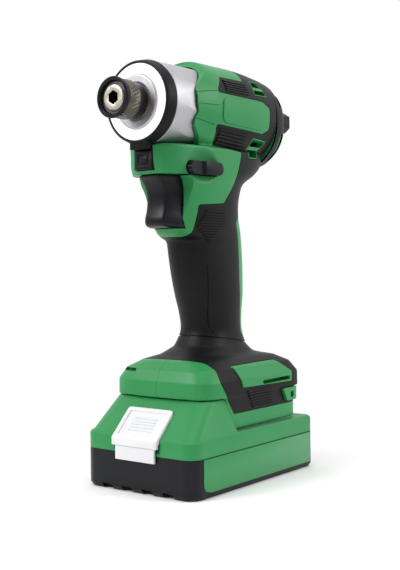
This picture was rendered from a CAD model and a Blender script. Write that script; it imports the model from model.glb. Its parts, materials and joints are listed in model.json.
"""Moulded shells, finishes and studio for a cordless impact driver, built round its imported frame."""

import json
import math

import bmesh
import bpy
import numpy as np
from mathutils import Euler, Matrix, Vector


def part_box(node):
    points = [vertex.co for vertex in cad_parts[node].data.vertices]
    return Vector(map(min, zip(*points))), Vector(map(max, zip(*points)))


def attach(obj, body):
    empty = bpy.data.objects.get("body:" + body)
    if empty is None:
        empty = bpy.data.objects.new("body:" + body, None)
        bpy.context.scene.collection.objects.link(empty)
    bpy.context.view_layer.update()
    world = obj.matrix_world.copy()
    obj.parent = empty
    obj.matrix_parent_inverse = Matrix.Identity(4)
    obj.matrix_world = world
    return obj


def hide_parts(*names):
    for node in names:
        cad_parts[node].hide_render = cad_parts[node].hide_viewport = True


bl_info = {
    "name": "Impact driver finish",
    "version": (1, 0, 0),
    "blender": (4, 5, 0),
    "location": "3D View > Sidebar > Driver",
    "description": "Shells, finishes and studio for a cordless impact driver",
    "category": "Object",
}

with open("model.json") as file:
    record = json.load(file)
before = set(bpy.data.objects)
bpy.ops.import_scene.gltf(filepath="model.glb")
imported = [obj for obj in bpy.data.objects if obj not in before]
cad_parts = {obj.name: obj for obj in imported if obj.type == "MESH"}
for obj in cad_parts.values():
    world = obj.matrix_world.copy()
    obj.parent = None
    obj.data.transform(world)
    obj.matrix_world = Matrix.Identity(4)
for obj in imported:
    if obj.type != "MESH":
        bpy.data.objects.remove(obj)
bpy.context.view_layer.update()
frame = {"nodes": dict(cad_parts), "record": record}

# A millimetre in the frame's metres, and the room in millimetres that the solids leave round each other
MM = 0.001
SEAT_GAP = 0.05
SLIDE_GAP = 0.4


def span(node):
    """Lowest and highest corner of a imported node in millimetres."""
    low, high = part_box(node)
    return low / MM, high / MM


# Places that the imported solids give, in millimetres: the drive axis and the barrel's ends, the foot's deck and the
# skirt's lower edge, the trigger with its room, lever, mode button, the battery's hump and the motor
CASE_LOW, CASE_HIGH = span("hammer_case")
HEAD_Z = (CASE_LOW.z + CASE_HIGH.z) / 2
FRONT_X = span("nose_bumper")[0].x - 16.4
BACK_X = span("rear_cover")[1].x + SEAT_GAP
FOOT_Z = span("battery_cover")[1].z + 0.6
SKIRT_Z = span("housing_left")[0].z
TRIGGER_LOW = span("trigger")[0].z - SLIDE_GAP
TRIGGER_HIGH = span("trigger")[1].z + SLIDE_GAP
TRIGGER_HW = span("trigger")[1].y
LEVER_LOW, LEVER_HIGH = span("direction_lever")
LEVER_R = (LEVER_HIGH.z - LEVER_LOW.z) / 2
LEVER_Z = (LEVER_HIGH.z + LEVER_LOW.z) / 2
MODE_LOW, MODE_HIGH = span("mode_button")
HUMP_HW = span("hook_nuts")[1].y - 2.2
MOTOR_R = span("stator")[1].y

# Reach of a tool solid that passes right through the driver
WIDE = 60.0
FAR = 120.0

# Sizes of the housing in millimetres, as in the solids: foot, handle, waist and head, and the points of a ring
FOOT_FRONT = 40.0
FOOT_BACK = 50.0
FOOT_HW = 34.0
HANDLE_HW = 15.5
WAIST_FRONT = 10.8
HEAD_R = 26.8
RING_POINTS = 128


class DriverSizes(bpy.types.PropertyGroup):
    """Sizes of the mouldings that a user would change."""

    skin: bpy.props.FloatProperty(
        name="Grip skin", description="Thickness of the rubber grip",
        default=1.4 * MM, min=0.8 * MM, max=2.0 * MM, unit="LENGTH", subtype="DISTANCE", precision=5)
    seam: bpy.props.FloatProperty(
        name="Seam", description="Width of the line between two mouldings",
        default=0.3 * MM, min=0.1 * MM, max=0.6 * MM, unit="LENGTH", subtype="DISTANCE", precision=5)
    raised: bpy.props.FloatProperty(
        name="Raised panels", description="Height of the raised green panels and of the grip's ribs",
        default=0.6 * MM, min=0.2 * MM, max=0.8 * MM, unit="LENGTH", subtype="DISTANCE", precision=5)
    hook_pad: bpy.props.FloatProperty(
        name="Hook pads", description="Height of the belt hook pads",
        default=1.6 * MM, min=0.5 * MM, max=2.0 * MM, unit="LENGTH", subtype="DISTANCE", precision=5)
    voxel: bpy.props.FloatProperty(
        name="Skin grid", description="Grid that the shell's skin is drawn on",
        default=0.85 * MM, min=0.5 * MM, max=2.0 * MM, unit="LENGTH", subtype="DISTANCE", precision=5)
    edge: bpy.props.FloatProperty(
        name="Moulded edge", description="Radius of the small moulded edges",
        default=0.5 * MM, min=0.1 * MM, max=1.0 * MM, unit="LENGTH", subtype="DISTANCE", precision=5)


def in_mm(length):
    """Millimetres of a size, freed from the noise of its single precision."""
    return round(length / MM, 4)


def linear(hex_code):
    """Linear colour of an sRGB hex value."""
    parts = [int(hex_code[i:i + 2], 16) / 255 for i in (1, 3, 5)]
    return tuple(c / 12.92 if c <= 0.04045 else ((c + 0.055) / 1.055) ** 2.4 for c in parts)


class DriverColours(bpy.types.PropertyGroup):
    """Colours of the finishes that a user would change."""

    green: bpy.props.FloatVectorProperty(
        name="Green", description="Green of the housing", subtype="COLOR", default=linear("#2c8c4e"))
    rubber: bpy.props.FloatVectorProperty(
        name="Rubber", description="Black of the grip", subtype="COLOR", default=linear("#0e0d10"))
    black: bpy.props.FloatVectorProperty(
        name="Black", description="Black of the plastic parts", subtype="COLOR", default=linear("#0f1014"))
    white: bpy.props.FloatVectorProperty(
        name="White", description="White of the release button", subtype="COLOR", default=linear("#e4e4e6"))


# Mesh tools


def add_object(name, data):
    """New object in the scene from a mesh, lamp or camera."""
    made = bpy.data.objects.new(name, data)
    bpy.context.scene.collection.objects.link(made)
    return made


def solid(name, points, faces):
    """New object from points in millimetres."""
    mesh = bpy.data.meshes.new(name)
    mesh.from_pydata([tuple(c * MM for c in p) for p in points], [], faces)
    mesh.validate()
    work = bmesh.new()
    work.from_mesh(mesh)
    bmesh.ops.recalc_face_normals(work, faces=work.faces)
    work.to_mesh(mesh)
    work.free()
    return add_object(name, mesh)


def loft(name, rings):
    """Closed solid skinned over rings of equal length."""
    n = len(rings[0])
    points = [p for ring in rings for p in ring]
    faces = [tuple(range(n)), tuple(range((len(rings) - 1) * n, len(rings) * n))]
    for j in range(len(rings) - 1):
        for i in range(n):
            k = (i + 1) % n
            faces.append((j * n + i, j * n + k, (j + 1) * n + k, (j + 1) * n + i))
    return solid(name, points, faces)


def prism(name, outline, y0=-WIDE, y1=WIDE):
    """Solid with an outline seen from the side, between two widths or right across the driver."""
    return loft(name, [[(x, y, z) for x, z in outline] for y in (y0, y1)])


def block(name, low, high):
    """Box between two corners."""
    outline = [(low[0], low[2]), (high[0], low[2]), (high[0], high[2]), (low[0], high[2])]
    return prism(name, outline, low[1], high[1])


def circle(radius, sides=96, start=0.0):
    """Points of a circle or of a plain polygon."""
    turns = [math.tau * i / sides + start for i in range(sides)]
    return [(radius * math.cos(turn), radius * math.sin(turn)) for turn in turns]


def rod(name, x0, x1, radius, drop=0.0, sides=128, start=0.0):
    """Rod along the drive axis, or lower than it."""
    section = circle(radius, sides, start)
    return loft(name, [[(x, y, HEAD_Z - drop + z) for y, z in section] for x in (x0, x1)])


def bore(name, x, z, radius, y0=-WIDE, y1=WIDE, sides=40):
    """Rod across the driver."""
    return prism(name, [(x + a, z + b) for a, b in circle(radius, sides)], y0, y1)


def scoop(name, centre, radii, rows=24, sides=48):
    """Egg shape that presses a shallow dish into a wall."""
    x, y, z = centre
    rings = []
    for k in range(1, rows):
        lean = math.pi * k / rows
        rings.append([(x + a, y - radii[1] * math.cos(lean), z + b * radii[2] / radii[0])
                      for a, b in circle(radii[0] * math.sin(lean), sides)])
    return loft(name, rings)


def settle(piece):
    """Replace a piece's mesh by what its modifiers make of it."""
    graph = bpy.context.evaluated_depsgraph_get()
    mesh = bpy.data.meshes.new_from_object(piece.evaluated_get(graph))
    old = piece.data
    piece.modifiers.clear()
    piece.data = mesh
    bpy.data.meshes.remove(old)
    return piece


def combine(piece, tool, how="DIFFERENCE", keep=False):
    """Cut, join or intersect a piece with a closed tool solid, which is dropped unless kept."""
    step = piece.modifiers.new("cut", "BOOLEAN")
    step.operation = how
    step.solver = "MANIFOLD"
    step.object = tool
    settle(piece)
    if not keep:
        bpy.data.objects.remove(tool)
    if len(piece.data.polygons) == 0:
        raise RuntimeError(f"{piece.name} came out empty")
    return piece


def twin(piece, name):
    """Copy of a piece under a new name."""
    return add_object(name, piece.data.copy())


def joined(name, parts):
    """One object from several that stand apart."""
    work = bmesh.new()
    for part in parts:
        work.from_mesh(part.data)
        bpy.data.objects.remove(part)
    mesh = bpy.data.meshes.new(name)
    work.to_mesh(mesh)
    work.free()
    return add_object(name, mesh)


# Outlines seen from the side


def over(level, *points):
    """Points seen from the side, whose heights are counted from a level."""
    return [(x, level + z) for x, z in points]


def grown(outline, by):
    """Outline moved outward by a distance, for points that run either way round."""
    pts = [Vector(p) for p in outline]
    n = len(pts)
    area = sum(pts[i].x * pts[(i + 1) % n].y - pts[(i + 1) % n].x * pts[i].y for i in range(n))
    turn = 1 if area > 0 else -1
    out = []
    for i in range(n):
        before = (pts[i] - pts[i - 1]).normalized()
        after = (pts[(i + 1) % n] - pts[i]).normalized()
        na = Vector((before.y, -before.x)) * turn
        nb = Vector((after.y, -after.x)) * turn
        share = max(0.3, 1 + na.dot(nb))
        out.append(tuple(pts[i] + (na + nb) * (by / share)))
    return out


def rounded(outline, radius, steps=5):
    """Outline with an arc at each corner, tighter where the sides are short."""
    pts = [Vector(p) for p in outline]
    n = len(pts)
    out = []
    for i in range(n):
        a, b, c = pts[i - 1], pts[i], pts[(i + 1) % n]
        u, v = (a - b).normalized(), (c - b).normalized()
        half = math.acos(max(-1, min(1, u.dot(v)))) / 2
        if half > math.radians(86):  # too flat to round
            out.append(tuple(b))
            continue
        reach = min(radius / math.tan(half), (a - b).length * 0.45, (c - b).length * 0.45)
        p, q = b + u * reach, b + v * reach
        for k in range(steps + 1):
            t = k / steps
            out.append(tuple(p * (1 - t) ** 2 + b * 2 * t * (1 - t) + q * t ** 2))
    return out


def capsule(xa, za, xb, zb, radius, steps=8):
    """Bar with round ends seen from the side."""
    lean = math.atan2(zb - za, xb - xa)
    ends = [(xb, zb, -90), (xa, za, 90)]
    return [(x + radius * math.cos(lean + math.radians(start + 180 * k / steps)),
             z + radius * math.sin(lean + math.radians(start + 180 * k / steps)))
            for x, z, start in ends for k in range(steps + 1)]


# Body of the driver


def oval(rx, ry, square, back_square=None):
    """Points of an oval between an ellipse and a rectangle, squarer at the back if asked."""
    out = []
    for i in range(RING_POINTS):
        c, s = math.cos(math.tau * i / RING_POINTS), math.sin(math.tau * i / RING_POINTS)
        q = back_square if back_square and c < 0 else square
        out.append((rx * math.copysign(abs(c) ** (2 / q), c), ry * math.copysign(abs(s) ** (2 / q), s)))
    return out


# Stations of the foot, the handle and the part round the trigger: height, front, back, half width, squareness
FOOT_STATIONS = [
    (FOOT_Z, FOOT_FRONT, -FOOT_BACK - 1.6, FOOT_HW + 0.5, 6.5),
    (FOOT_Z + 8.5, FOOT_FRONT, -FOOT_BACK - 1.6, FOOT_HW + 0.3, 6.5),
    (FOOT_Z + 14.5, FOOT_FRONT - 3.2, -FOOT_BACK + 2.6, FOOT_HW - 3, 6),
    (FOOT_Z + 18.4, FOOT_FRONT - 8.4, -FOOT_BACK + 10.2, FOOT_HW - 9.4, 4.6),
    (FOOT_Z + 20.8, FOOT_FRONT - 16, -FOOT_BACK + 16, FOOT_HW - 14.4, 3),
    (FOOT_Z + 25, WAIST_FRONT + 3.8, -30.6, HANDLE_HW + 1.1, 2.5),
]
HANDLE_STATIONS = [
    FOOT_STATIONS[-1],
    (FOOT_Z + 33, WAIST_FRONT, -28.9, HANDLE_HW - 0.2, 2.2),
    (FOOT_Z + 43.5, WAIST_FRONT + 1.1, -28.8, HANDLE_HW + 0.3, 2.1),
    (FOOT_Z + 52, WAIST_FRONT + 4.2, -30.2, HANDLE_HW + 0.8, 2.1),
    (HEAD_Z - 93, WAIST_FRONT + 7.7, -31, HANDLE_HW + 0.9, 2.1),
    (HEAD_Z - 82, WAIST_FRONT + 9.7, -30.4, HANDLE_HW + 0.9, 2.2),
    (TRIGGER_LOW - 6.2, 21.8, -29.2, HANDLE_HW + 0.8, 2.3),
]
GUARD_STATIONS = [
    HANDLE_STATIONS[-1],
    (TRIGGER_LOW - 4.7, 25.6, -28.8, HANDLE_HW + 0.9, 2.4),
    (TRIGGER_LOW - 3, 28.6, -28.4, HANDLE_HW + 1, 2.5),
    (TRIGGER_LOW - 0.4, 31, -27.9, HANDLE_HW + 1.2, 2.5),
    (HEAD_Z - 60, 33.6, -26.2, HANDLE_HW + 1.6, 2.5),
    (HEAD_Z - 53, 35, -24.2, HANDLE_HW + 3.2, 2.5),
    (HEAD_Z - 46, 38, -24.6, HANDLE_HW + 4.6, 2.5),
    (HEAD_Z - 39, 45, -28.4, HANDLE_HW + 5.6, 2.6),
    (HEAD_Z - 34, 47.4, -38, HANDLE_HW + 6, 2.7),
    (HEAD_Z - 28, 48.2, -46, HANDLE_HW + 6, 2.7),
    (HEAD_Z - 21.5, 48.6, -47, HANDLE_HW + 6, 2.7),
]
# Stations of the head: how far forward, radius
HEAD_STATIONS = [(BACK_X, HEAD_R - 1.6), (-22, HEAD_R), (0, HEAD_R), (FRONT_X - 12, HEAD_R - 0.6),
                 (FRONT_X - 4, HEAD_R - 2), (FRONT_X, HEAD_R - 2.5), (FRONT_X + 4, HEAD_R - 2.9)]


def curve_through(rows, step, straight=False):
    """Rows at small steps of their first value, on cubics through the given rows or on straight lines."""
    table = np.array(rows, float)
    slopes = np.gradient(table, table[:, 0], axis=0)
    out = []
    for a, b, sa, sb in zip(table, table[1:], slopes, slopes[1:]):
        h = b[0] - a[0]
        count = max(1, round(h / step))
        for k in range(count):
            t = k / count
            if straight:
                out.append(a + (b - a) * t)
                continue
            out.append((2 * t ** 3 - 3 * t ** 2 + 1) * a + (t ** 3 - 2 * t ** 2 + t) * h * sa
                       + (3 * t ** 2 - 2 * t ** 3) * b + (t ** 3 - t ** 2) * h * sb)
    out.append(table[-1])
    return out


def handle_ring(row, grow):
    """Ring of points of one station of the foot or handle."""
    z, front, back, half, square = row
    middle = (front + back) / 2
    foot_back = 12 if square > 4 else None  # the foot's back corners are squarer
    return [(middle + x, y, z) for x, y in oval((front - back) / 2 + grow, half + grow, square, foot_back)]


def skirt_front(z):
    """Slanted front edge of the skirt at a height."""
    return FOOT_FRONT - 23 + (z - SKIRT_Z + 0.7) * 0.33


def handle_solid(grow):
    """Foot and handle as one lofted solid."""
    rows = (curve_through(FOOT_STATIONS, 1.5, True)[:-1] + curve_through(HANDLE_STATIONS, 1.2)[:-1]
            + curve_through(GUARD_STATIONS, 1.2))
    return loft("handle", [handle_ring(r, grow) for r in rows])


def head_solid(grow):
    """Barrel of the head."""
    return loft("head", [[(x, p, HEAD_Z + q) for p, q in oval(r + grow, r + grow, 2.1)]
                         for x, r in curve_through(HEAD_STATIONS, 2)])


def skirt_solid(grow):
    """Skirt of the foot that the battery slides into."""
    middle = (FOOT_FRONT - FOOT_BACK) / 2
    plan = oval((FOOT_FRONT + FOOT_BACK) / 2 + grow, FOOT_HW + grow, 5, 8)
    skirt = loft("skirt", [[(middle + x, y, z) for x, y in plan] for z in (SKIRT_Z, FOOT_Z + 1)])
    below, above = SKIRT_Z - 1, FOOT_Z + 2
    slant = [(-FAR, below), (skirt_front(below), below), (skirt_front(above), above), (-FAR, above)]
    return combine(skirt, prism("slant", slant), "INTERSECT")


# Dish pressed into each side round the lever: how far forward, out and above the lever it stands, and its radii
DISH_AT = (27, 21.9, 0.6)
DISH_RADII = (16, 4.2, 10.5)
# Bands of height over the foot's deck, and the share of smoothing in each: the foot keeps its crisp edges
EASE_BANDS = [(-math.inf, 19, 0.16), (19, 21.5, 0.6), (21.5, math.inf, 1.0)]


def body_solid(name, grow, voxel):
    """Whole outer form of the driver as one skin, with its inner corners eased."""
    handle = handle_solid(grow)
    head = head_solid(grow)
    body = combine(combine(handle, head, "UNION"), skirt_solid(grow), "UNION")
    forward, out, above = DISH_AT
    for side in (1, -1):
        combine(body, scoop("lever_dish", (forward, side * (out + grow), LEVER_Z + above), DISH_RADII))
    body.name = name
    grid = body.modifiers.new("grid", "REMESH")
    grid.mode = "VOXEL"
    grid.voxel_size = voxel * MM
    settle(body)
    places = np.empty(len(body.data.vertices) * 3)
    body.data.vertices.foreach_get("co", places)
    level = places[2::3] / MM - FOOT_Z
    soft = body.vertex_groups.new(name="soft")
    for low, high, weight in EASE_BANDS:
        soft.add(np.nonzero((level >= low) & (level < high))[0].tolist(), weight, "REPLACE")
    ease = body.modifiers.new("ease", "SMOOTH")
    ease.iterations = 6
    ease.factor = 0.5
    ease.vertex_group = soft.name
    return settle(body)


# Zones seen from the side: the rubber grip, the raised panel of the head, the plate and hook pad of the foot
BLACK_ZONE = (
    over(HEAD_Z, (9.5, 16.2), (-12, 16.7), (-20, 40), (-80, 40), (-80, -57), (-18, -57.4), (-13.4, -61.5),
         (-15.4, -72), (-15.8, -93))
    + over(FOOT_Z, (-17, 43), (-18.5, 32), (-24, 26), (-80, 26), (-80, -9), (FOOT_FRONT - 23.8, -9),
           (FOOT_FRONT - 12.8, 8.2), (FOOT_FRONT - 14, 18), (FOOT_FRONT - 7, 21.6), (70, 21.6))
    + over(TRIGGER_LOW, (70, -5), (24.6, -4.6), (23, -2.2), (22.6, 2))
    + over(HEAD_Z, (22, -57), (22.4, -53), (3, -51.7), (-5.5, -40), (-11.5, -22.6), (12, -20.6), (16.4, -10),
           (-27, -11.2), (-33, -8.6), (-33, 3.9), (-26, 6.9), (16.6, 7)))
PANEL_ZONE = over(HEAD_Z, (10, 4.8), (-25, 5.4), (-30.6, 2.8), (-30.6, -7.2), (-25.8, -9.6), (10, -8.6),
                  (12.6, -6.4), (12.6, 2.4))
PLATE_ZONE = over(FOOT_Z, (12.8, 15.6), (-28.6, 15.9), (-39.4, 9), (-39, 3.2), (8.6, 4.2))
PAD_ZONE = over(FOOT_Z, (-29.5, -0.35), (-46.4, -0.55), (-45.1, -7.8), (-33.5, -7.6))
# Air vents beside the motor, with the radius of their corners and the two ends of the slat across each
UPPER_VENT = over(HEAD_Z, (-20, 19), (-18.2, 9.6), (-33.6, 10), (-28, 19))
LOWER_VENT = over(HEAD_Z, (-19.4, -13.6), (-35, -14.2), (-28.4, -25.2), (-18.2, -25.4))
VENT_CORNER = 1.5
SLATS = [(-14, HEAD_Z + 13.4, -38, HEAD_Z + 14.8), (-13, HEAD_Z - 19.4, -40, HEAD_Z - 18.8)]
# Hole of the belt hook, screw holes in the right half, and how far the rear form hangs below the drive axis
HOOK_X, HOOK_Z = -39.2, FOOT_Z - 4.4
SCREWS = over(HEAD_Z, (-33, -27), (-15, -76)) + over(FOOT_Z, (-8, 40), (30, 8), (-40, 8))
REAR_DROP = 4.0
# Wall of the handle, and the bore of the housing that the hammer case sits in
WALL = 4.4
CASE_BORE_R = 23.4


def inner_spaces():
    """Solids that hollow the shells: bores, handle, trigger bay, lever slots, button pocket and battery."""
    made = [rod("motor_bore", BACK_X + 2, FRONT_X - 30, MOTOR_R + 0.15),
            rod("rear_bore", BACK_X - 10, BACK_X + 4, MOTOR_R - 3.4),
            rod("case_bore", CASE_LOW.x - 12.1, FRONT_X + 30, CASE_BORE_R)]
    bumper_low, bumper_high = span("nose_bumper")
    made.append(rod("bumper_bore", bumper_low.x - 0.6, FRONT_X + 50, bumper_high.y + SLIDE_GAP))
    rows = (curve_through(FOOT_STATIONS[1:], 3, True)[:-1] + curve_through(HANDLE_STATIONS, 3)[:-1]
            + curve_through(GUARD_STATIONS[:6], 3))
    # The space stays behind the trigger bay
    rows = [(z, min(front, 27) if z > TRIGGER_LOW - 12 else front, back, half, square)
            for z, front, back, half, square in rows]
    made.append(loft("handle_space", [handle_ring(r, -WALL) for r in rows]))
    trigger_w = TRIGGER_HW + SLIDE_GAP
    slot = [(0, TRIGGER_LOW), (FAR, TRIGGER_LOW), (FAR, TRIGGER_HIGH), (0, TRIGGER_HIGH)]
    made.append(prism("trigger_slot", rounded(slot, 2), -trigger_w, trigger_w))
    low, high = TRIGGER_LOW - 0.1, TRIGGER_HIGH + 0.1
    bay = [(31.5, low), (29.4, TRIGGER_LOW + 5), (28.2, TRIGGER_LOW + 12), (28.2, TRIGGER_HIGH - 7),
           (30, high), (FAR, high), (FAR, low)]
    made.append(prism("trigger_bay", rounded(bay, 4)))
    way = capsule(LEVER_LOW.x + LEVER_R, LEVER_Z, LEVER_HIGH.x - LEVER_R, LEVER_Z, LEVER_R + SLIDE_GAP)
    made.append(prism("lever_slot", way))
    mode_w = MODE_HIGH.y + SLIDE_GAP
    made.append(block("mode_pocket", (MODE_LOW.x - 2.2, -mode_w, MODE_LOW.z - SLIDE_GAP),
                      (FAR, mode_w, HEAD_Z - 15)))
    made.append(block("battery_space", (-FAR, -HUMP_HW, 0), (FAR, HUMP_HW, FOOT_Z - 0.1)))
    for drop in (0, REAR_DROP):
        made.append(rod("rear_space", span("rear_bumper")[0].x, BACK_X - 0.03, HEAD_R - 1.1, drop))
    for x, z in SCREWS:
        made.append(bore("screw_hole", x, z, 3.0, -WIDE, -8))
    return made


def foot_openings():
    """Hook holes, the slots for their nut plates, the raised plates' dark slots and the slit on the right slope."""
    nut_low, nut_high = span("hook_nuts")
    made = [bore("hook_hole", HOOK_X, HOOK_Z, 2.0),
            block("nut_slot", (-FAR, nut_low.y - SEAT_GAP, nut_low.z - SEAT_GAP),
                  (nut_high.x + SEAT_GAP, nut_high.y + SEAT_GAP, nut_high.z + SEAT_GAP))]
    for y0, y1 in ((FOOT_HW - 4.6, WIDE), (-WIDE, 4.6 - FOOT_HW)):
        made.append(prism("plate_slot", capsule(-11, FOOT_Z + 5.2, -36.2, FOOT_Z + 5.4, 1.1), y0, y1))
    slit = over(FOOT_Z, (FOOT_FRONT - 8, 12.8), (FOOT_FRONT, 12.8), (FOOT_FRONT, 14.4), (FOOT_FRONT - 8, 14.4))
    made.append(prism("slope_slit", rounded(slit, 0.6), -27, -17))
    return made


def front_edge():
    """Solid ahead of the green head, whose front edge steps in and out and leaves the case bare above and below."""
    edge = over(HEAD_Z, (FAR, 40), (14, 40), (14, 26), (19.8, 18), (23.4, 14.6), (27.6, 11.4), (30.4, 8.8), (32, 6.4),
                (31.2, 3), (31.4, 0), (30.2, -5), (32, -8), (31.4, -11.4), (28.4, -14.2), (24.4, -17), (21, -21.4),
                (FAR, -21.4))
    return prism("front_edge", edge)


def vent_openings():
    """Openings of the vents, each with a slat across it."""
    made = []
    for window, slat in zip((UPPER_VENT, LOWER_VENT), SLATS):
        hole = prism("vent", rounded(grown(window, -0.8), 0.8))
        made.append(combine(hole, prism("slat", capsule(*slat, 0.85), -FAR, FAR)))
    return made


def crease(name, outline, inner):
    """Cutter that follows an outline seen from the side, down to an inner form."""
    return combine(prism(name, outline), inner)


def head_creases():
    """Fine lines from the head's front edge back to the ribbed patches."""
    lines = [(33, 5, 16.6, 7.7), (33, -0.6, 16.2, -0.2), (33, -8, 18.2, -10.4)]
    return [crease("crease", capsule(xa, HEAD_Z + za, xb, HEAD_Z + zb, 0.22), head_solid(-0.35))
            for xa, za, xb, zb in lines]


def grip_grooves():
    """Ledge of the grip above the neck, which falls to the back, and the front edge of each side panel."""
    ledge = capsule(40, FOOT_Z + 35.4, -60, FOOT_Z + 20.9, 0.35)
    line = over(FOOT_Z, (11, 70), (9.6, 60), (8.5, 51), (7.3, 42), (6, 34.8), (3, 30.2))
    edge = [(x - 0.18, z) for x, z in line] + [(x + 0.18, z) for x, z in reversed(line)]
    return [crease("ledge", ledge, handle_solid(-0.6)), crease("panel_edge", edge, handle_solid(-0.4))]


def grip_ribs():
    """Bars of the ribbed patches: two on the head, one on the handle and one on the foot."""
    bars = []
    for k in range(5):
        bars.append(capsule(8, HEAD_Z + 14.6 - 1.4 * k, -13, HEAD_Z + 15 - 1.4 * k, 0.42))
        bars.append(capsule(11.4 + 0.2 * k, HEAD_Z - 19 + 1.6 * k, -13, HEAD_Z - 20.4 + 1.75 * k, 0.45))
    for k in range(12):
        z = HEAD_Z - 56.4 - 1.45 * k
        front = min(16.4 + 0.8 * k, 20.6 - 1.7 * (k - 6))
        back = max(-0.2 - 0.5 * k, -2.2 + 1.8 * (k - 4))
        bars.append(capsule(front, z, back, z, 0.42))
    for k in range(7):
        z = FOOT_Z + 1.6 - 1.5 * k
        bars.append(capsule(4 - 0.9 * k, z, -19.5 - 0.2 * k, z, 0.45))
    return joined("grip_ribs", [prism("rib", bar) for bar in bars])


# Where the trigger's sides end inside the handle
TRIGGER_BACK = 12


def trigger_solid():
    """Trigger with a narrow hollowed pad in front, a crease beside it and sides that sweep back to full width."""
    low, high = TRIGGER_LOW + SLIDE_GAP, TRIGGER_HIGH - SLIDE_GAP
    # How far forward the pad stands at each height
    fronts = [(low, 36.4), (low + 0.8, 38.9), (low + 2.2, 40.2), (low + 4.4, 40.4), (low + 9.2, 39),
              (low + 13.9, 38.4), (low + 19.2, 39), (low + 22.7, 40.8), (low + 25.2, 42.7), (high - 0.5, 44.6),
              (high, 44.4)]
    # How far back from the pad each half width is reached
    half = [(0, 0), (0.05, 3.6), (0.35, 5.8), (0.8, 6.6), (1.4, 6.9), (1.9, 6.7), (2.6, 7.1), (6, 8.7),
            (9, 9.8), (11, TRIGGER_HW)]
    rings = []
    for z, front in curve_through(fronts, 0.6):
        side = [(front - back, y) for back, y in half] + [(TRIGGER_BACK, TRIGGER_HW)]
        rings.append([(x, y, z) for x, y in side] + [(x, -y, z) for x, y in side[:0:-1]])
    return loft("trigger_moulded", rings)


# Distance of each half from the middle plane
SHELL_SPLIT = 0.06
SKIN_SPLIT = 0.04


def half_space(side, gap):
    """Block that holds one side of the middle plane."""
    low, high = (gap, FAR) if side > 0 else (-FAR, -gap)
    return block("half", (-200, low, -10), (200, high, 300))


# Finishing of pieces

# Points nearer than this fall together, in millimetres: after cutting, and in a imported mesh
WELD_REACH = 0.003
PACKED_REACH = 0.004


def weld(mesh):
    """Join points that fall together, and drop the slivers and loose faces that this leaves."""
    work = bmesh.new()
    work.from_mesh(mesh)
    bmesh.ops.triangulate(work, faces=[f for f in work.faces if len(f.verts) > 4])
    bmesh.ops.dissolve_degenerate(work, dist=WELD_REACH * MM, edges=work.edges)
    bmesh.ops.remove_doubles(work, verts=work.verts, dist=WELD_REACH * MM)
    stray = [f for f in work.faces if all(len(e.link_faces) != 2 for e in f.edges)]
    bmesh.ops.delete(work, geom=stray, context="FACES")
    work.to_mesh(mesh)
    work.free()


def sharpen(piece, degrees=32):
    """Weld a piece and shade it smooth, with a break where faces meet at more than an angle."""
    weld(piece.data)
    piece.data.shade_smooth()
    piece.data.set_sharp_from_angle(angle=math.radians(degrees))


def place(piece, body, slot, node):
    """Give a piece its body, record slot and finish, and hide the node that it stands for."""
    piece.data.materials.clear()
    piece.data.materials.append(finish_of(slot))
    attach(piece, body)
    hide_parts(node)
    return piece


def dressed(node, name, edge, body, slot, degrees=30, segments=3):
    """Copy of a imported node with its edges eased, which stands for the node."""
    piece = twin(frame["nodes"][node], name)
    mesh = piece.data
    if mesh.has_custom_normals:
        with bpy.context.temp_override(object=piece, active_object=piece, selected_objects=[piece]):
            bpy.ops.mesh.customdata_custom_splitnormals_clear()
    work = bmesh.new()
    work.from_mesh(mesh)
    bmesh.ops.remove_doubles(work, verts=work.verts, dist=PACKED_REACH * MM)
    bmesh.ops.dissolve_limit(work, angle_limit=math.radians(0.6), verts=work.verts, edges=work.edges)
    work.to_mesh(mesh)
    work.free()
    ease = piece.modifiers.new("edge", "BEVEL")
    ease.width = edge * MM
    ease.segments = segments
    ease.limit_method = "ANGLE"
    ease.angle_limit = math.radians(degrees)
    ease.use_clamp_overlap = True
    settle(piece)
    sharpen(piece, 40)
    return place(piece, body, slot, node)


# Finishes


def add_node(tree, kind, feeds=None, **settings):
    """Add a shader node with its settings, and feed its sockets from a value or another node's socket."""
    node = tree.nodes.new(kind)
    for key, value in settings.items():
        setattr(node, key, value)
    for name, source in (feeds or {}).items():
        socket = node.inputs[name]
        if isinstance(source, bpy.types.NodeSocket):
            tree.links.new(source, socket)
        else:
            socket.default_value = source
    return node


def blank(name):
    """New material with an empty tree and its output."""
    made = bpy.data.materials.new(name)
    made.use_nodes = True
    tree = made.node_tree
    tree.nodes.clear()
    return made, tree, tree.nodes.new("ShaderNodeOutputMaterial")


def rgba(colour, share=1.0):
    """Linear colour with an alpha, made lighter or darker by a share."""
    return tuple(min(1.0, c * share) for c in colour[:3]) + (1.0,)


# Width of the faint clouds in moulded plastic and of the stains on metal, in millimetres
PIGMENT_CLOUD = 18.0
METAL_STAIN = 9.0
# Radius in millimetres over which a moulded edge catches the light
SOFT_EDGE = 0.3


def mottled(tree, place_on, colour, width, share):
    """Colour that drifts lighter and darker by a share over patches of a width in mm, and the patches."""
    cloud = add_node(tree, "ShaderNodeTexNoise", {"Vector": place_on, "Scale": 1 / (width * MM), "Detail": 3.0})
    tone = add_node(tree, "ShaderNodeMix", {"Factor": cloud.outputs["Fac"]}, data_type="RGBA")
    tone.inputs["A"].default_value = rgba(colour, 1 - share)
    tone.inputs["B"].default_value = rgba(colour, 1 + share)
    return tone.outputs["Result"], cloud.outputs["Fac"]


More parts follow.
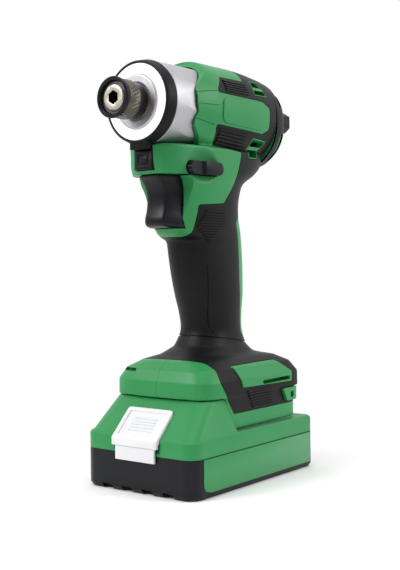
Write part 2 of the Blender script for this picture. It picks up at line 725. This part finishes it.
def moulded(name, colour, roughness, grain, depth, mottle=0.08, shine=0.5):
    """Moulded plastic or rubber: an even colour with a faint cloud, under the spark grain of the mould.

    The grain and its depth are in mm. Real spark grain is near 0.1 mm wide, too fine to show, so it is drawn
    about five times coarser. Its pits trap part of the reflected light, so the shine is lowered.
    """
    spread = 0.06
    made, tree, out = blank(name)
    place_on = add_node(tree, "ShaderNodeTexCoord").outputs["Object"]
    tone = mottled(tree, place_on, colour, PIGMENT_CLOUD, mottle)[0]
    tooth = add_node(tree, "ShaderNodeTexNoise", {"Vector": place_on, "Scale": 1 / (grain * MM), "Detail": 2.0})
    gloss = add_node(tree, "ShaderNodeMapRange", {"Value": tooth.outputs["Fac"], "To Min": roughness - spread,
                                                  "To Max": roughness + spread})
    soft = add_node(tree, "ShaderNodeBevel", {"Radius": SOFT_EDGE * MM}, samples=4)
    relief = add_node(tree, "ShaderNodeBump", {"Height": tooth.outputs["Fac"], "Distance": depth * MM,
                                               "Strength": 1.0, "Normal": soft.outputs["Normal"]})
    shader = add_node(tree, "ShaderNodeBsdfPrincipled", {
        "Base Color": tone, "Roughness": gloss.outputs["Result"],
        "Normal": relief.outputs["Normal"], "IOR": 1.5, "Specular IOR Level": shine})
    tree.links.new(shader.outputs["BSDF"], out.inputs["Surface"])
    return made


def worked_metal(name, colour, roughness, grain, depth, stretch=(1, 1, 1)):
    """Metal whose surface keeps the mark of its making: pits of a casting or lines of a tool.

    The marks and their depth are in mm. Tool lines are near 0.1 mm wide, too fine to show, so they are drawn
    about four times coarser. A stretch below one draws them out along that axis.
    """
    spread, mottle = 0.1, 0.12
    made, tree, out = blank(name)
    place_on = add_node(tree, "ShaderNodeTexCoord").outputs["Object"]
    lay = add_node(tree, "ShaderNodeMapping", {"Vector": place_on, "Scale": stretch})
    marks = add_node(tree, "ShaderNodeTexNoise", {"Vector": lay.outputs["Vector"], "Scale": 1 / (grain * MM),
                                                  "Detail": 4.0})
    tone, stain = mottled(tree, place_on, colour, METAL_STAIN, mottle)
    gloss = add_node(tree, "ShaderNodeMapRange", {"Value": stain, "To Min": roughness - spread,
                                                  "To Max": roughness + spread})
    relief = add_node(tree, "ShaderNodeBump", {"Height": marks.outputs["Fac"], "Distance": depth * MM,
                                               "Strength": 1.0})
    shader = add_node(tree, "ShaderNodeBsdfPrincipled", {
        "Base Color": tone, "Metallic": 1.0, "Roughness": gloss.outputs["Result"],
        "Normal": relief.outputs["Normal"]})
    tree.links.new(shader.outputs["BSDF"], out.inputs["Surface"])
    return made


def frosted_ring():
    """Frosted polycarbonate light guide: milky white that glows a little from the lamps behind it.

    The frost's pits are under 0.1 mm, too fine to show, so they are drawn 0.6 mm wide.
    """
    made, tree, out = blank("frosted_polycarbonate")
    place_on = add_node(tree, "ShaderNodeTexCoord").outputs["Object"]
    frost = add_node(tree, "ShaderNodeTexNoise", {"Vector": place_on, "Scale": 1 / (0.6 * MM), "Detail": 2.0})
    glow = add_node(tree, "ShaderNodeMapRange", {"Value": frost.outputs["Fac"], "To Min": 0.5, "To Max": 0.6})
    shader = add_node(tree, "ShaderNodeBsdfPrincipled", {
        "Base Color": rgba(linear("#f4f6f8")), "Roughness": 0.35, "IOR": 1.58,
        "Emission Color": rgba(linear("#ffffff")), "Emission Strength": glow.outputs["Result"]})
    tree.links.new(shader.outputs["BSDF"], out.inputs["Surface"])
    return made


FINISHES = {}
# Finish of each material slot of the record
SLOT_FINISHES = {
    "green_plastic": "green", "label_panel": "film", "grip_rubber": "rubber", "black_plastic": "black",
    "cast_alloy": "cast", "light_lens": "lens", "white_plastic": "white", "circuit_board": "board",
    "bush_bronze": "bronze", "copper_wire": "copper", "cell_can": "sleeve", "black_steel": "oxide",
    "dark_steel": "dark", "steel": "steel",
}


def finish_of(slot):
    """Finish that a material slot of the record takes."""
    return FINISHES[SLOT_FINISHES[slot]]


def make_finishes(colours):
    """Every finish of the driver by its short name."""
    FINISHES.update({
        # Spark-grained ABS: an even, strong green whose highlights are broad and weak
        "green": moulded("moulded_green_abs", colours.green, 0.42, 0.5, 0.012, shine=0.34),
        # Thermoplastic rubber: nearly black and dull, with a soft sheen only where it turns away
        "rubber": moulded("moulded_black_tpe", colours.rubber, 0.48, 0.45, 0.02, shine=0.2),
        # Glass-filled nylon: as dark as the rubber, but tighter and a little glossier
        "black": moulded("moulded_black_nylon", colours.black, 0.36, 0.5, 0.012, shine=0.24),
        # Plain ABS from a smoother mould: clean white with a clear highlight
        "white": moulded("moulded_white_abs", colours.white, 0.38, 0.6, 0.008, mottle=0.01),
        # Printed polyester film: the housing's green, flatter and glossier
        "film": moulded("printed_green_film", colours.green, 0.3, 1.2, 0.004, mottle=0.04),
        # Glass-epoxy board under solder mask: dark green with a wet look, a little uneven
        "board": moulded("solder_masked_board", linear("#1f5a34"), 0.4, 1.0, 0.02),
        # Cell can in shrunk PVC sleeve: smooth blue, slightly rippled
        "sleeve": moulded("shrink_sleeved_can", linear("#2f5f95"), 0.35, 1.2, 0.01),
        "lens": frosted_ring(),
        # Die-cast and blasted aluminium: pale grey, pitted, with wide soft highlights
        "cast": worked_metal("die_cast_aluminium", linear("#bfbec2"), 0.5, 0.9, 0.05),
        # Blackened steel: dark and smooth, with a narrow highlight
        "oxide": worked_metal("black_oxide_steel", linear("#2e2e30"), 0.3, 0.5, 0.008),
        # Knurled steel whose black has worn off the tips: brownish grey and duller
        "worn": worked_metal("worn_knurled_steel", linear("#625e56"), 0.38, 0.4, 0.01),
        # Ground steel: bright and warm, with lines along the axis
        "steel": worked_metal("ground_steel", linear("#cfc8bc"), 0.32, 0.4, 0.008, stretch=(0.2, 1, 1)),
        # Hardened steel under oil: mid grey, uneven
        "dark": worked_metal("oiled_dark_steel", linear("#5a5a5e"), 0.38, 0.5, 0.01),
        # Pressed bronze powder: yellow and matt, with fine pores
        "bronze": worked_metal("sintered_bronze", linear("#c9a24a"), 0.35, 0.4, 0.01),
        # Wound wire in clear enamel: reddish, with glossy lines along the drive axis
        "copper": worked_metal("enamelled_copper_wire", linear("#b8683a"), 0.3, 0.5, 0.02, stretch=(0.15, 1, 1)),
    })


# Operators, one for each group of pieces


class DRIVER_OT_shells(bpy.types.Operator):
    """Green housing halves and the rubber grip moulded over them."""

    bl_idname = "driver.shells"
    bl_label = "Housing and grip"

    def execute(self, context):
        sizes = context.scene.driver_sizes
        seam, voxel = in_mm(sizes.seam), in_mm(sizes.voxel)
        outer = body_solid("outer", 0, voxel)
        inner = body_solid("inner", -in_mm(sizes.skin), voxel * 1.5)
        proud = body_solid("proud", in_mm(sizes.raised), voxel)
        zone = rounded(BLACK_ZONE, 1.6)
        # Green body: the outer form sunk under the grip, with its raised panels, hook pads and vent rims
        green = twin(outer, "green")
        combine(green, prism("zone", grown(zone, seam / 2)))
        combine(green, inner, "UNION", keep=True)
        panels = joined("panels", [prism("panel", rounded(p, r))
                                   for p, r in ((PANEL_ZONE, 3), (PLATE_ZONE, 1))])
        combine(green, combine(twin(proud, "raised"), panels, "INTERSECT"), "UNION")
        pads = prism("pad", rounded(PAD_ZONE, 0.8))
        combine(green, combine(skirt_solid(in_mm(sizes.hook_pad)), pads, "INTERSECT"), "UNION")
        windows = joined("windows", [prism("window", grown(rounded(w, VENT_CORNER), -seam))
                                     for w in (UPPER_VENT, LOWER_VENT)])
        combine(green, combine(twin(outer, "vent_rims"), windows, "INTERSECT"), "UNION")
        for line in head_creases():
            combine(green, line)
        # Grip: the rest of the outer form down to the inner one, with its ribs, open round the green panels
        grip = combine(outer, prism("zone", grown(zone, -seam / 2)), "INTERSECT")
        combine(grip, combine(proud, grip_ribs(), "INTERSECT"), "UNION")
        combine(grip, inner)
        for window in (UPPER_VENT, LOWER_VENT):
            combine(grip, prism("window", rounded(window, VENT_CORNER)))
        for outline in (PLATE_ZONE, PAD_ZONE):
            combine(grip, prism("island", grown(outline, seam)))
        # Both are hollowed, opened and split at the middle
        for space in inner_spaces() + [front_edge()]:
            combine(green, space, keep=True)
            combine(grip, space)
        for opening in vent_openings() + foot_openings():
            combine(green, opening)
        for groove in grip_grooves():
            combine(grip, groove)
        for side, word in ((1, "left"), (-1, "right")):
            shell = combine(twin(green, f"shell_{word}"), half_space(side, SHELL_SPLIT), "INTERSECT")
            sharpen(shell)
            place(shell, "driver", "green_plastic", f"housing_{word}")
            skin = combine(twin(grip, f"grip_skin_{word}"), half_space(side, SKIN_SPLIT), "INTERSECT")
            sharpen(skin)
            place(skin, "driver", "grip_rubber", f"grip_{word}")
        bpy.data.objects.remove(green)
        bpy.data.objects.remove(grip)
        return {"FINISHED"}


# Flats round the hammer case: how many, how deep and how far they are turned
FLATS = 10
FLAT_DEPTH = 0.7
FLAT_TURN = math.radians(20)
# Knurled band of the sleeve, measured back from its front end, and the radius that its tips pass
KNURL_BACK, KNURL_FRONT = 11.2, 3.1
KNURL_R = 8.6
# Faces of the anvil nearer to the axis than this are its hex socket
SOCKET_R = 3.6


def axis_distance(face):
    """Distance of a face's middle from the drive axis, in millimetres."""
    middle = face.center / MM
    return math.hypot(middle.y, middle.z - HEAD_Z)


class DRIVER_OT_nose(bpy.types.Operator):
    """Cast case, bumper, light ring and bit chuck."""

    bl_idname = "driver.nose"
    bl_label = "Nose and chuck"

    def execute(self, context):
        edge = in_mm(context.scene.driver_sizes.edge)
        case = dressed("hammer_case", "case_cast", edge, "driver", "cast_alloy")
        corner_r = (CASE_HIGH.y - FLAT_DEPTH) / math.cos(math.pi / FLATS)
        flats = rod("case_flats", CASE_LOW.x - 1, CASE_HIGH.x + 1, corner_r, sides=FLATS, start=FLAT_TURN)
        combine(case, flats, "INTERSECT")
        sharpen(case, 9)
        dressed("nose_bumper", "bumper_moulded", edge, "driver", "grip_rubber")
        dressed("led_lens", "light_ring", 0.25, "driver", "light_lens")
        sleeve = dressed("chuck_sleeve", "sleeve_turned", 0.12, "sleeve", "black_steel", segments=2)
        sleeve.data.materials.append(FINISHES["worn"])
        end = span("chuck_sleeve")[1].x
        for face in sleeve.data.polygons:
            in_band = end - KNURL_BACK < face.center.x / MM < end - KNURL_FRONT
            if in_band and axis_distance(face) > KNURL_R:
                face.material_index = 1
        anvil = dressed("anvil", "anvil_ground", 0.2, "output", "steel", segments=2)
        anvil.data.materials.append(FINISHES["dark"])
        for face in anvil.data.polygons:
            if axis_distance(face) < SOCKET_R and abs(face.normal.x) < 0.5:
                face.material_index = 1
        return {"FINISHED"}


class DRIVER_OT_rear(bpy.types.Operator):
    """Rear cover and the bumper round it."""

    bl_idname = "driver.rear"
    bl_label = "Rear cover"

    def execute(self, context):
        edge = in_mm(context.scene.driver_sizes.edge)
        dressed("rear_cover", "rear_cover_moulded", edge * 0.6, "driver", "green_plastic")
        dressed("rear_bumper", "rear_bumper_moulded", edge, "driver", "grip_rubber")
        return {"FINISHED"}


# Lower front half of the lever: how far from its back end, and how deep under its side, each point of the step is
LEVER_STEP = [(14, -1), (14, 0.1), (16.4, 2.2), (FAR - LEVER_LOW.x, 3.4), (FAR - LEVER_LOW.x, -1)]


class DRIVER_OT_controls(bpy.types.Operator):
    """Trigger, direction lever and mode button."""

    bl_idname = "driver.controls"
    bl_label = "Controls"

    def execute(self, context):
        edge = in_mm(context.scene.driver_sizes.edge)
        trigger = trigger_solid()
        sharpen(trigger, 38)
        place(trigger, "trigger", "black_plastic", "trigger")
        lever = dressed("direction_lever", "lever_moulded", edge * 1.6, "direction", "black_plastic")
        for out, inward in ((LEVER_HIGH.y, -1), (LEVER_LOW.y, 1)):
            step = [(LEVER_LOW.x + along, out + inward * deep) for along, deep in LEVER_STEP]
            heights = (LEVER_LOW.z - 1, LEVER_HIGH.z + 1)
            combine(lever, loft("front_half", [[(x, y, z) for x, y in step] for z in heights]))
        sharpen(lever, 26)
        dressed("mode_button", "mode_button_moulded", edge, "mode", "black_plastic")
        return {"FINISHED"}


# Release button: how much narrower its tab is on each side, and the radius of its corners seen from the front
TAB_INSET = 2
BUTTON_CORNER = 2.4
# Fine ribs on its slope: how many, the first one's place, their spacing and half width, and their section, along
# the slope and under the plane of the rim
BUTTON_RIBS = 5
FIRST_RIB, RIB_PITCH, RIB_HW = 6.4, 1.9, 8
RIB_SECTION = [(-0.4, -1.6), (0.4, -1.6), (0.3, -0.6), (-0.3, -0.6)]


class DRIVER_OT_battery(bpy.types.Operator):
    """Battery shells, label panel and release button."""

    bl_idname = "driver.battery"
    bl_label = "Battery"

    def execute(self, context):
        edge = in_mm(context.scene.driver_sizes.edge)
        dressed("battery_case", "battery_base_moulded", edge * 1.6, "battery", "black_plastic", 36)
        dressed("battery_cover", "battery_cover_moulded", edge * 1.6, "battery", "green_plastic", 36)
        dressed("battery_label", "label_panel_film", 0.15, "battery", "label_panel", segments=2)
        button = dressed("release_button", "release_button_moulded", edge * 0.8, "release", "white_plastic")
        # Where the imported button's plate ends above its tab, and where its slope starts and ends
        low, high = span("release_button")
        corners = [v.co / MM for v in frame["nodes"]["release_button"].data.vertices]
        lip = min(c.z for c in corners if c.y > high.y - 0.1)
        foot = max(c.z for c in corners if c.x > high.x - 0.1)
        back = max(corners, key=lambda c: c.z).x
        half, tab = high.y, high.y - TAB_INSET
        front = [(-tab, 0), (tab, 0), (tab, lip), (half, lip), (half, high.z), (-half, high.z), (-half, lip),
                 (-tab, lip)]
        section = rounded(front, BUTTON_CORNER)
        view = loft("front_view", [[(x, y, z) for y, z in section] for x in (low.x - 1, high.x + 1)])
        combine(button, view, "INTERSECT")
        slope = Vector((back - high.x, high.z - foot)).normalized()
        out = Vector((slope.y, -slope.x))
        for k in range(BUTTON_RIBS):
            middle = Vector((high.x, foot)) + slope * (FIRST_RIB + RIB_PITCH * k)
            bar = [tuple(middle + slope * along + out * rise) for along, rise in RIB_SECTION]
            combine(button, prism("button_rib", bar, -RIB_HW, RIB_HW), "UNION")
        sharpen(button, 30)
        return {"FINISHED"}


class DRIVER_OT_inner(bpy.types.Operator):
    """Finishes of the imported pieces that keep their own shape."""

    bl_idname = "driver.inner"
    bl_label = "Inner pieces"

    def execute(self, context):
        for row in frame["record"]["subparts"]:
            piece = frame["nodes"][row["node"]]
            piece.data.materials.clear()
            piece.data.materials.append(finish_of(row["material_slot"]))
        return {"FINISHED"}


# Direction from the driver to the white sweep behind it, and the brightness of the room on the other side
SWEEP_SIDE = (-0.788, -0.616, 0.0)
DIM_ROOM = 0.42
# Floor, in metres: its radius, how far it lies under the driver, the ring in which its shaded paper fades to plain
# white, and the ring in which that white fades to the room's brightness
FLOOR_R = 1.2
FLOOR_DROP = 0.0002
PAPER_FADE = (0.07, 0.28)
WHITE_FADE = (0.36, 1.1)
# Soft lamps: name, place and width in metres, and power in watts
LAMPS = [("key", (0.8, -0.4, 0.75), 0.5, 7.4), ("fill", (-0.4, 0.85, 0.6), 0.5, 4.4),
         ("top", (0.1, 0.1, 1.05), 0.6, 2.6)]
LAMP_AIM = Vector((0, 0, 0.12))
# Camera: place in metres, tilt, turn and roll in degrees, focal length and film width in millimetres
CAMERA_AT = (0.4263, 0.3327, 0.1178)
CAMERA_TILT, CAMERA_TURN, CAMERA_ROLL = 88.9, 128.03, -0.71
CAMERA_LENS, CAMERA_FILM = 60.4, 36


def studio_glow(tree, toward):
    """Brightness of the room in a direction: a white sweep behind the driver and a dimmer room in front."""
    facing = add_node(tree, "ShaderNodeVectorMath", {0: toward, 1: SWEEP_SIDE}, operation="DOT_PRODUCT")
    glow = add_node(tree, "ShaderNodeMapRange", {"Value": facing.outputs["Value"], "From Min": -0.35,
                                                 "From Max": 0.55, "To Min": DIM_ROOM, "To Max": 1.0},
                    interpolation_type="SMOOTHSTEP")
    return glow.outputs["Result"]


def paper_sweep():
    """Matt white paper: it takes soft shadows near the driver and runs into the bright room without an edge."""
    made, tree, out = blank("matt_paper_sweep")
    place_on = add_node(tree, "ShaderNodeTexCoord").outputs["Object"]
    reach = add_node(tree, "ShaderNodeVectorMath", {0: place_on}, operation="LENGTH").outputs["Value"]
    outward = add_node(tree, "ShaderNodeVectorMath", {0: place_on}, operation="NORMALIZE").outputs["Vector"]
    fade = add_node(tree, "ShaderNodeMapRange", {"Value": reach, "From Min": PAPER_FADE[0],
                                                 "From Max": PAPER_FADE[1]})
    near = add_node(tree, "ShaderNodeMapRange", {"Value": reach, "From Min": WHITE_FADE[0],
                                                 "From Max": WHITE_FADE[1], "To Min": 1.0, "To Max": 0.0})
    lit = add_node(tree, "ShaderNodeMath", {0: near.outputs["Result"], 1: studio_glow(tree, outward)},
                   operation="MAXIMUM")
    paper = add_node(tree, "ShaderNodeBsdfDiffuse", {"Color": (0.95, 0.95, 0.95, 1)})
    white = add_node(tree, "ShaderNodeEmission", {"Color": (1, 1, 1, 1), "Strength": lit.outputs["Value"]})
    mix = add_node(tree, "ShaderNodeMixShader", {0: fade.outputs["Result"], 1: paper.outputs["BSDF"],
                                                 2: white.outputs["Emission"]})
    tree.links.new(mix.outputs["Shader"], out.inputs["Surface"])
    return made


class DRIVER_OT_stage(bpy.types.Operator):
    """Pale floor, soft lamps and the camera."""

    bl_idname = "driver.stage"
    bl_label = "Studio"

    def execute(self, context):
        scene = context.scene
        scene.view_settings.view_transform = "Standard"
        world = bpy.data.worlds.new("studio")
        world.use_nodes = True
        tree = world.node_tree
        toward = add_node(tree, "ShaderNodeTexCoord").outputs["Generated"]
        sky = tree.nodes["Background"]
        tree.links.new(studio_glow(tree, toward), sky.inputs["Strength"])
        sky.inputs["Color"].default_value = (1, 1, 1, 1)
        scene.world = world

        mesh = bpy.data.meshes.new("floor")
        work = bmesh.new()
        bmesh.ops.create_circle(work, cap_ends=True, segments=64, radius=FLOOR_R)
        work.to_mesh(mesh)
        work.free()
        floor = add_object("floor", mesh)
        floor.data.materials.append(paper_sweep())
        floor.location.z = -FLOOR_DROP

        for name, at, size, power in LAMPS:
            lamp = bpy.data.lights.new(name, "AREA")
            lamp.size = size
            lamp.energy = power
            holder = add_object(name, lamp)
            holder.location = at
            holder.rotation_euler = (LAMP_AIM - Vector(at)).to_track_quat("-Z", "Y").to_euler()

        camera = bpy.data.cameras.new("camera")
        camera.lens = CAMERA_LENS
        camera.sensor_width = CAMERA_FILM
        holder = add_object("camera", camera)
        turn = Euler((math.radians(CAMERA_TILT), 0, math.radians(CAMERA_TURN)))
        holder.matrix_world = (Matrix.Translation(CAMERA_AT) @ turn.to_matrix().to_4x4()
                               @ Matrix.Rotation(math.radians(CAMERA_ROLL), 4, "Z"))
        scene.camera = holder
        return {"FINISHED"}


OPERATORS = (DRIVER_OT_inner, DRIVER_OT_shells, DRIVER_OT_nose, DRIVER_OT_rear, DRIVER_OT_controls,
             DRIVER_OT_battery, DRIVER_OT_stage)


class DRIVER_PT_panel(bpy.types.Panel):
    """Sizes, colours and steps of the driver."""

    bl_label = "Impact driver"
    bl_space_type = "VIEW_3D"
    bl_region_type = "UI"
    bl_category = "Driver"

    def draw(self, context):
        for group in (context.scene.driver_sizes, context.scene.driver_colours):
            for key in group.__annotations__:
                self.layout.prop(group, key)
        for step in OPERATORS:
            self.layout.operator(step.bl_idname)


CLASSES = (DriverSizes, DriverColours) + OPERATORS + (DRIVER_PT_panel,)


def register():
    """Add the classes and hang the sizes and colours on the scene."""
    for made in CLASSES:
        bpy.utils.register_class(made)
    bpy.types.Scene.driver_sizes = bpy.props.PointerProperty(type=DriverSizes)
    bpy.types.Scene.driver_colours = bpy.props.PointerProperty(type=DriverColours)


def unregister():
    """Take away what register added."""
    del bpy.types.Scene.driver_colours
    del bpy.types.Scene.driver_sizes
    for made in reversed(CLASSES):
        bpy.utils.unregister_class(made)


def main():
    """Build every piece and the studio."""
    register()
    make_finishes(bpy.context.scene.driver_colours)
    bpy.ops.driver.inner()
    bpy.ops.driver.shells()
    bpy.ops.driver.nose()
    bpy.ops.driver.rear()
    bpy.ops.driver.controls()
    bpy.ops.driver.battery()
    bpy.ops.driver.stage()


if __name__ == "__main__":
    main()
